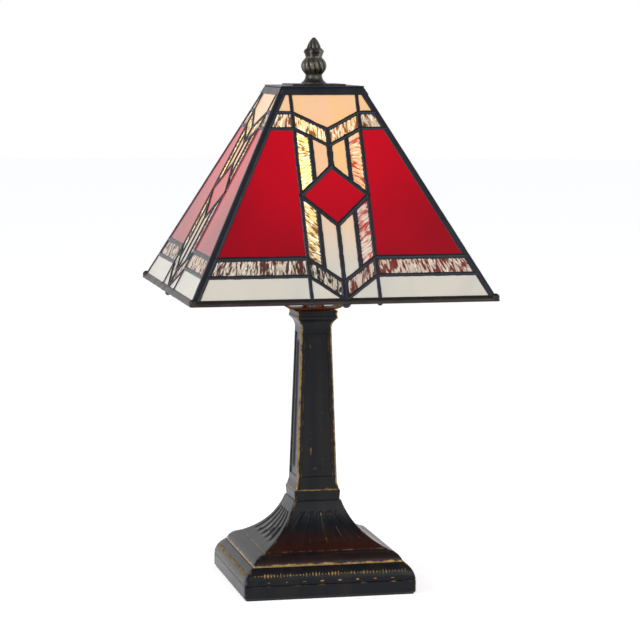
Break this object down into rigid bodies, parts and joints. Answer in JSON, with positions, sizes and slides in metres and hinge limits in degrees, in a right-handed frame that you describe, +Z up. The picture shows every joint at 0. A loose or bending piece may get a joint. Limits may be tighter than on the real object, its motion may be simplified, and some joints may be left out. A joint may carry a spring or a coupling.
{
  "type": "stained glass table lamp",
  "caption": "Table lamp with a pyramid shade of leaded glass panes, a harp and finial, a tapered square column and a stepped square foot.",
  "frame": {"origin": "middle of the felt under the foot, on the table", "axes": "+Z up the column, -Y towards the front, the cord inlet and the switch knob on +Y"},
  "size_m": [0.2032, 0.2032, 0.369],
  "materials": {
    "red_glass": "translucent red art glass, lightly wispy",
    "cream_glass": "opalescent cream art glass",
    "rippled_glass": "streaky amber and brown glass with a rippled face",
    "solder": "solder seams with a dark patina",
    "bronze": "antique dark bronze with rubbed edges",
    "copper_strap": "aged copper brown",
    "brass": "plain brass",
    "steel": "zinc-plated steel",
    "cast_iron": "raw casting",
    "phenolic": "black moulded phenolic",
    "rubber": "matt black",
    "felt": "dark felt",
    "bulb_glass": "frosted",
    "filament": "tungsten wire"
  },
  "bodies": {
    "base": {"base_foot": "bronze", "felt_pad": "felt", "foot_weight": "cast_iron", "bottom_washer": "steel", "bottom_nut": "steel", "cord_grommet": "rubber", "column": "bronze", "lamp_pipe": "steel", "harp_strap": "copper_strap", "harp_nut": "copper_strap", "harp_stud": "brass", "socket_base": "phenolic", "socket_shell": "phenolic", "socket_liner": "phenolic", "socket_screw_shell": "brass", "centre_contact": "brass", "switch_body": "phenolic"},
    "switch": {"switch_shaft": "brass", "switch_knob": "phenolic"},
    "bulb_screw": {"bulb_cap": "brass", "bulb_contact": "brass"},
    "bulb": {"bulb_glass": "bulb_glass", "bulb_stem": "bulb_glass", "bulb_filament": "filament"},
    "shade": {"diamond_glass": "red_glass", "crown_cream_glass": "cream_glass", "wing_top_cream_glass": "cream_glass", "wing_top_rippled_glass": "rippled_glass", "wing_red_glass": "red_glass", "wing_bottom_rippled_glass": "rippled_glass", "wing_bottom_cream_glass": "cream_glass", "upper_chevron_glass": "rippled_glass", "upper_strip_rippled_glass": "rippled_glass", "upper_strip_cream_glass": "cream_glass", "lower_strip_rippled_glass": "rippled_glass", "lower_strip_cream_glass": "cream_glass", "lower_chevron_glass": "rippled_glass", "hem_cream_glass": "cream_glass", "face_seams": "solder", "corner_seams": "solder", "top_rim": "solder", "bottom_rim": "solder", "cap_plate": "bronze"},
    "finial_thread": {"finial_insert": "brass"},
    "finial": {"finial": "bronze"}
  },
  "joints": [
    {"name": "switch_turn", "type": "hinge", "parent": "base", "child": "switch", "pos_m": [0, 0.025, 0.2085], "axis": [0, 1, 0], "continuous": true},
    {"name": "bulb_rise", "type": "slide", "parent": "base", "child": "bulb_screw", "axis": [0, 0, 1], "range_m": [0, 0.0127]},
    {"name": "bulb_turn", "type": "hinge", "parent": "bulb_screw", "child": "bulb", "pos_m": [0, 0, 0.24], "axis": [0, 0, 1], "range_deg": [0, 1800]},
    {"name": "shade_lift", "type": "slide", "parent": "base", "child": "shade", "axis": [0, 0, 1], "range_m": [0, 0.16]},
    {"name": "finial_rise", "type": "slide", "parent": "shade", "child": "finial_thread", "axis": [0, 0, 1], "range_m": [0, 0.00564]},
    {"name": "finial_turn", "type": "hinge", "parent": "finial_thread", "child": "finial", "pos_m": [0, 0, 0.34], "axis": [0, 0, 1], "range_deg": [0, 2160]}
  ],
  "couplings": [
    {"joint": "bulb_turn", "follows": "bulb_rise", "rad_per_m": 2473.7},
    {"joint": "finial_turn", "follows": "finial_rise", "rad_per_m": 6678.9}
  ]
}
